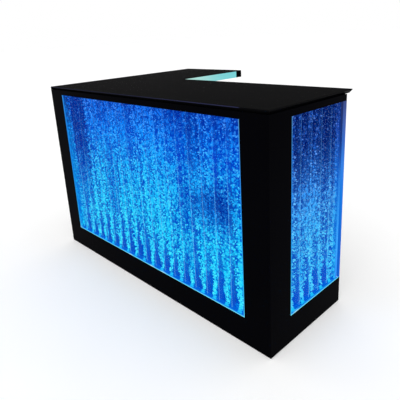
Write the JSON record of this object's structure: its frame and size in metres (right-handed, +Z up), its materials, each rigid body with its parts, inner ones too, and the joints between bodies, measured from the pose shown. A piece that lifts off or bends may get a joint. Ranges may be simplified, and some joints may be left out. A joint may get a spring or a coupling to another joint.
{
  "type": "l-shaped bar counter",
  "caption": "L-shaped bar counter in gloss black with lit bubble-water panels on front and end, a cantilevered return top with a glowing edge, and staff-side shelves, drawer and service door.",
  "frame": {"origin": "on the floor under the middle of the counter's bounding box", "axes": "+Z up, +X along the long front with the lit end panel at the +X end, the long front faces -Y, the return leg runs to +Y at the -X end"},
  "size_m": [1.6, 1.1, 1],
  "materials": {
    "black_lacquer": "gloss",
    "worktop_black": "gloss",
    "carcass_board": "satin",
    "clear_acrylic": "gloss",
    "glowing_back": "gloss",
    "glowing_edge": "gloss",
    "turquoise_diffuser": "satin",
    "aluminium": "satin",
    "steel": "satin",
    "chrome": "polished",
    "pump_case": "satin",
    "brass": "satin",
    "rubber": "matte",
    "hose": "satin",
    "black_plastic": "satin",
    "red_plastic": "gloss"
  },
  "bodies": {
    "counter": {"corner_post_front": "black_lacquer", "corner_post_end": "black_lacquer", "left_post": "black_lacquer", "outer_side_panel": "black_lacquer", "front_plinth": "black_lacquer", "end_plinth": "black_lacquer", "front_top_rail": "black_lacquer", "end_top_rail": "black_lacquer", "end_back_trim": "glowing_back", "return_end_panel": "black_lacquer", "return_aprons": "black_lacquer", "return_end_block": "black_lacquer", "control_fascia": "black_lacquer", "worktop_main": "worktop_black", "worktop_return": "worktop_black", "main_floor": "carcass_board", "return_floor": "carcass_board", "kickboards": "carcass_board", "front_liner": "carcass_board", "end_liner": "carcass_board", "partitions": "carcass_board", "top_stretchers": "carcass_board", "shelves": "carcass_board", "front_tank_face": "clear_acrylic", "end_tank_face": "clear_acrylic", "front_tank_dividers": "clear_acrylic", "end_tank_dividers": "clear_acrylic", "front_air_bar": "clear_acrylic", "end_air_bar": "clear_acrylic", "front_tank_back": "glowing_back", "end_tank_back": "glowing_back", "front_tank_edges": "glowing_edge", "end_tank_edges": "glowing_edge", "return_light_diffuser": "turquoise_diffuser", "led_channels": "aluminium", "control_plate": "aluminium", "led_driver": "aluminium", "cantilever_bars": "steel", "drawer_runners": "steel", "hinge_frame_leaves": "chrome", "air_pump": "pump_case", "air_valve": "brass", "drain_ports": "brass", "pump_feet": "rubber", "front_air_hose": "hose", "end_air_hose": "hose", "mains_inlet": "black_plastic", "switch_housing": "black_plastic", "floor_glides": "black_plastic"},
    "service_door": {"service_door": "black_lacquer", "service_door_knob": "chrome", "hinge_door_leaves": "chrome"},
    "drawer": {"drawer_front": "black_lacquer", "drawer_knob": "chrome", "drawer_box": "carcass_board", "drawer_slide_bars": "steel"},
    "rocker": {"switch_rocker": "red_plastic"},
    "front_lever": {"front_air_lever": "red_plastic"},
    "end_lever": {"end_air_lever": "red_plastic"}
  },
  "joints": [
    {"name": "service_door_hinge", "type": "hinge", "parent": "counter", "child": "service_door", "pos_m": [0.7375, -0.0202, 0.458], "axis": [0, 0, -1], "range_deg": [0, 110]},
    {"name": "drawer_slide", "type": "slide", "parent": "counter", "child": "drawer", "axis": [0, 1, 0], "range_m": [0, 0.35]},
    {"name": "rocker_pivot", "type": "hinge", "parent": "counter", "child": "rocker", "pos_m": [0.459, -0.0205, 0.891], "axis": [-1, 0, 0], "range_deg": [0, 12]},
    {"name": "front_lever_turn", "type": "hinge", "parent": "counter", "child": "front_lever", "pos_m": [0.489, -0.2705, 0.245], "axis": [0, 0, -1], "range_deg": [0, 90]},
    {"name": "end_lever_turn", "type": "hinge", "parent": "counter", "child": "end_lever", "pos_m": [0.529, -0.2705, 0.245], "axis": [0, 0, -1], "range_deg": [0, 90]}
  ]
}
